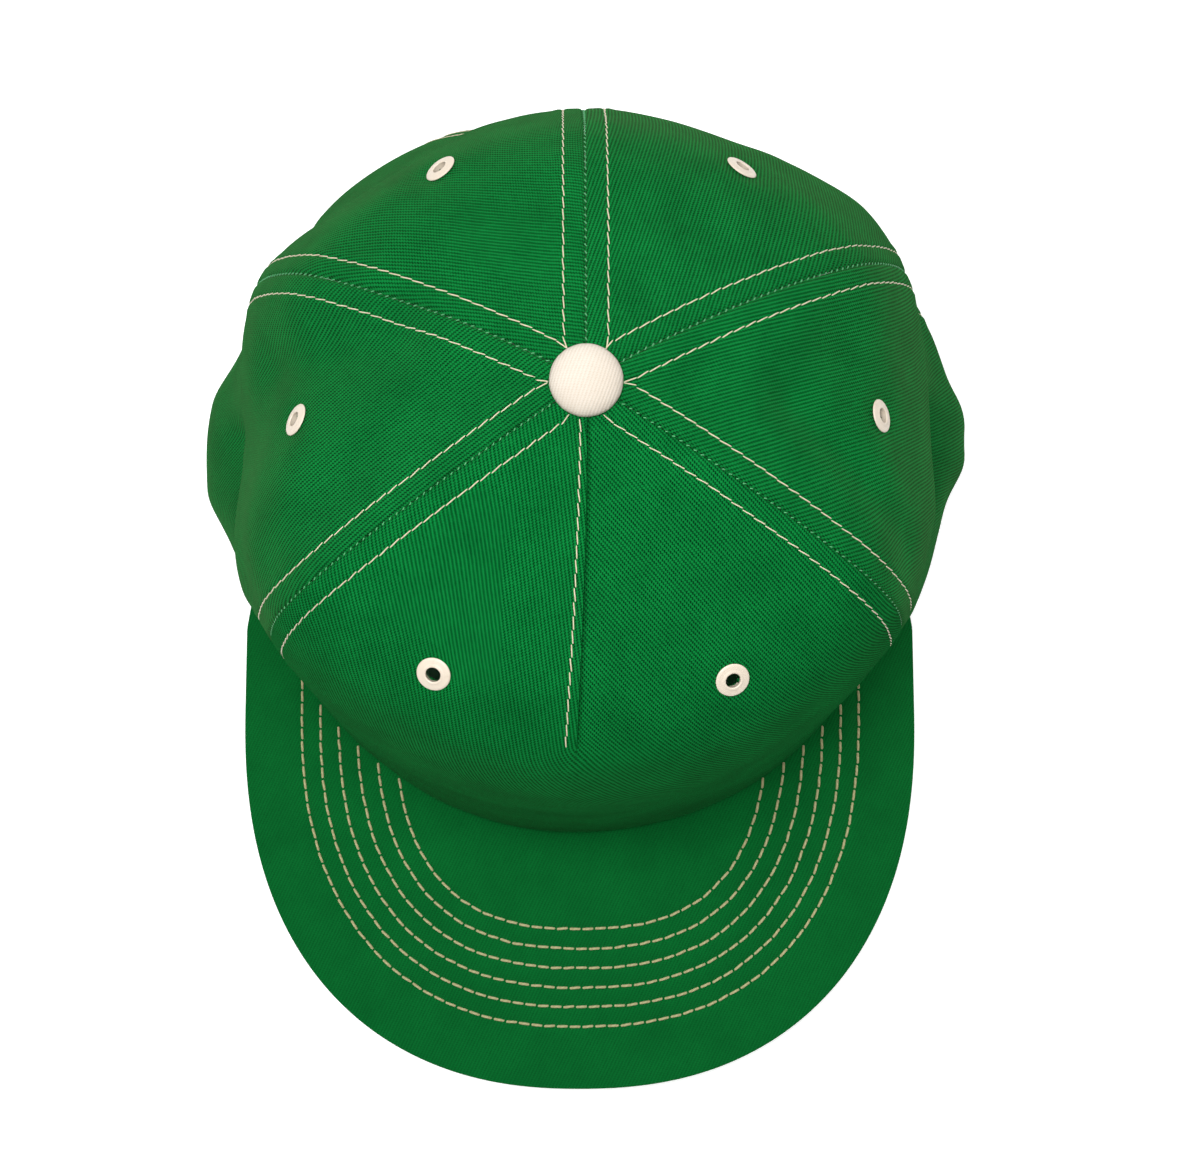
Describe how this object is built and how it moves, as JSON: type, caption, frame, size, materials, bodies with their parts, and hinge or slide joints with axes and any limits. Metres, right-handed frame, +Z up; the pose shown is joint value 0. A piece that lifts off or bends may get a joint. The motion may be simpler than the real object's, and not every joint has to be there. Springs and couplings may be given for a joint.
{
  "type": "peaked cap",
  "caption": "Soft cotton twill peaked cap resting on its hem, with sewn crown panels, covered button, eyelets, stitched peak and arched rear opening with strap.",
  "frame": {"origin": "middle of the cap's underside on the table", "axes": "+X to the right as seen from above with the peak towards the viewer, +Y from the peak to the rear opening, +Z up"},
  "size_m": [0.1966, 0.2554, 0.1346],
  "materials": {
    "green_twill": "matt twill weave",
    "cream_twill": "matt twill weave",
    "cream_enamel": "satin enamel"
  },
  "bodies": {
    "root": {"front_panel": "green_twill", "left_panel": "green_twill", "right_panel": "green_twill", "back_left_panel": "green_twill", "back_right_panel": "green_twill", "peak": "green_twill", "strap": "green_twill", "button": "cream_twill", "eyelet_front_left": "cream_enamel", "eyelet_front_right": "cream_enamel", "eyelet_left": "cream_enamel", "eyelet_right": "cream_enamel", "eyelet_back_left": "cream_enamel", "eyelet_back_right": "cream_enamel"}
  },
  "joints": []
}
